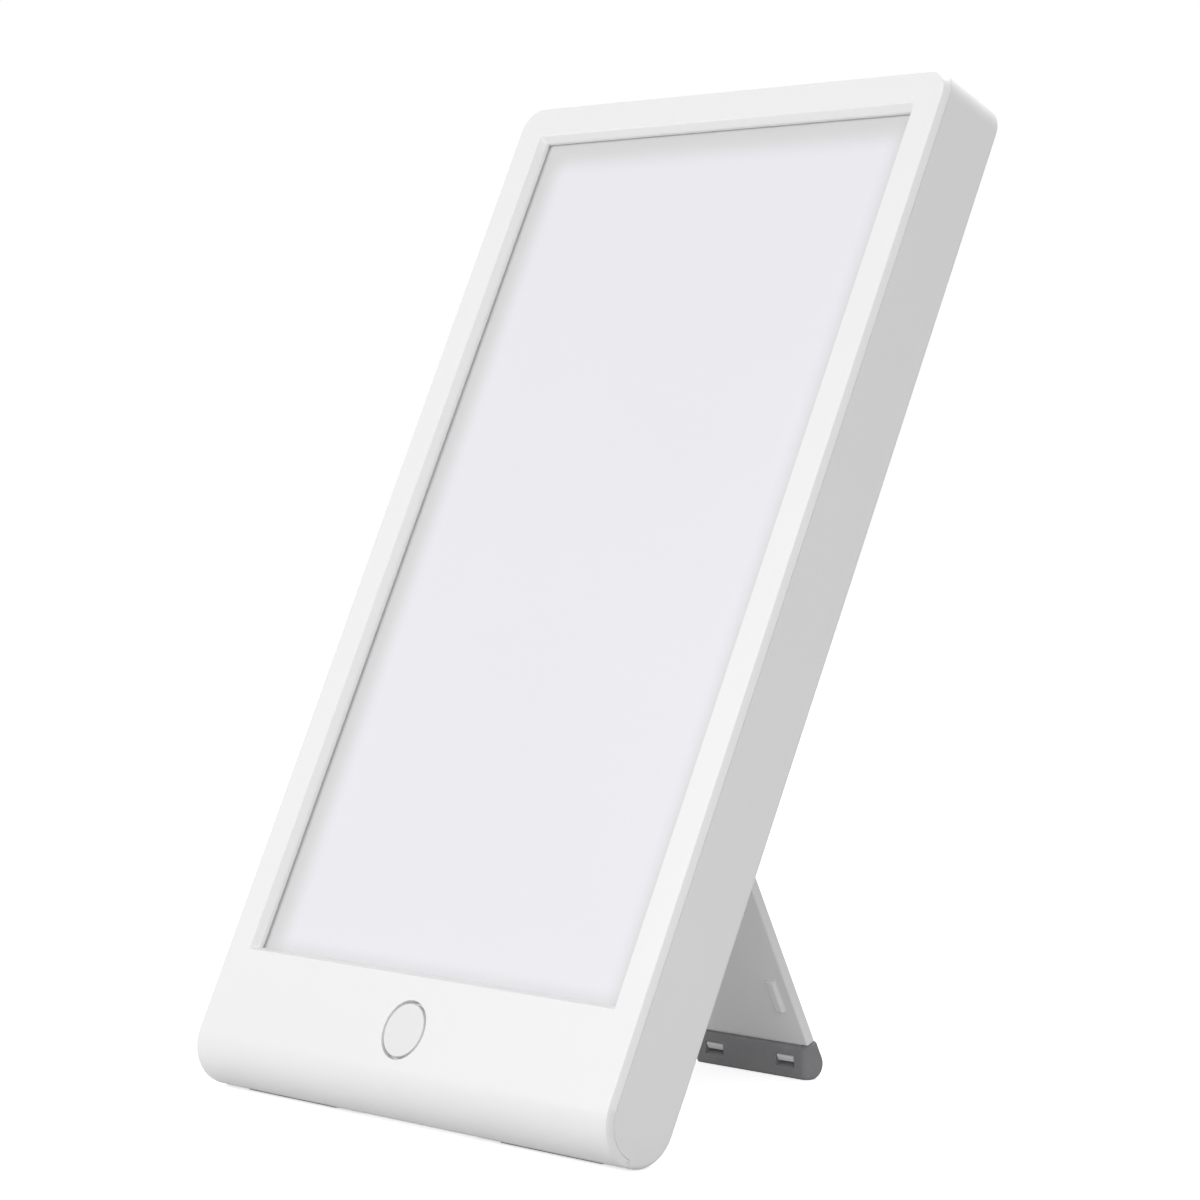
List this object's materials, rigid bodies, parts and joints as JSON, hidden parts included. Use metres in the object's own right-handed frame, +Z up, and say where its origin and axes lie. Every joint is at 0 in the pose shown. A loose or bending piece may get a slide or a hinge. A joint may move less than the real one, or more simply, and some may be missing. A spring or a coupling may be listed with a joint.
{
  "type": "light therapy lamp",
  "caption": "Tablet-shaped light therapy lamp: a leaning panel with an opal window and a round push button, on a fold-out leg with a rubber foot.",
  "frame": {"origin": "on the floor, under the middle of the lamp standing on its open leg", "axes": "+Z up, +X to the right as the user sees the front, -Y towards the user"},
  "size_m": [0.16, 0.137, 0.2627],
  "materials": {
    "shell_white": "satin white",
    "shell_back": "fine matte white",
    "grip_rubber": "matte",
    "foam": "closed cell foam",
    "opal": "opal, matte",
    "clear_acrylic": "clear, polished",
    "white_film": "matte white film",
    "plate_aluminium": "mill finish",
    "tape": "soft",
    "strip_board": "white solder resist",
    "led_package": "yellow phosphor",
    "button_white": "satin white",
    "switch_black": "matte",
    "switch_steel": "tinned steel",
    "board_green": "green solder resist",
    "chip_black": "moulded epoxy",
    "ferrite": "ferrite",
    "capacitor_sleeve": "shrink sleeve",
    "ceramic": "ceramic",
    "header_nylon": "natural nylon",
    "wire_red": "soft insulation",
    "wire_black": "soft insulation",
    "jack_black": "moulded",
    "jack_pin_metal": "nickel plated",
    "screw_steel": "zinc plated",
    "pin_steel": "ground steel",
    "washer_nylon": "nylon",
    "leg_white": "fine matte white",
    "foot_rubber": "matte"
  },
  "bodies": {
    "housing": {"front_shell": "shell_white", "rear_shell": "shell_back", "grip_strips": "grip_rubber", "window_gasket": "foam", "diffuser": "opal", "light_guide": "clear_acrylic", "reflector_sheet": "white_film", "back_plate": "plate_aluminium", "thermal_tapes": "tape", "led_strip_left": "strip_board", "led_strip_right": "strip_board", "leds_left": "led_package", "leds_right": "led_package", "switch_body": "switch_steel", "control_board": "board_green", "driver_chip": "chip_black", "inductor": "ferrite", "capacitors": "capacitor_sleeve", "surface_parts": "ceramic", "wire_headers": "header_nylon", "red_wires": "wire_red", "black_wires": "wire_black", "dc_jack": "jack_black", "jack_pin": "jack_pin_metal", "plate_screws": "screw_steel", "board_screws": "screw_steel", "case_screws": "screw_steel", "hinge_pin": "pin_steel", "friction_washers": "washer_nylon"},
    "stand": {"leg": "leg_white", "foot_pad": "foot_rubber"},
    "power_button": {"button_cap": "button_white", "switch_plunger": "switch_black"}
  },
  "joints": [
    {"name": "stand_fold", "type": "hinge", "parent": "housing", "child": "stand", "pos_m": [0, 0.00393, 0.1216], "axis": [-1, 0, 0], "range_deg": [0, 51.2]},
    {"name": "button_press", "type": "slide", "parent": "housing", "child": "power_button", "axis": [0, 0.9048, -0.4258], "range_m": [0, 0.0004], "stiffness_N_per_m": 4000}
  ]
}
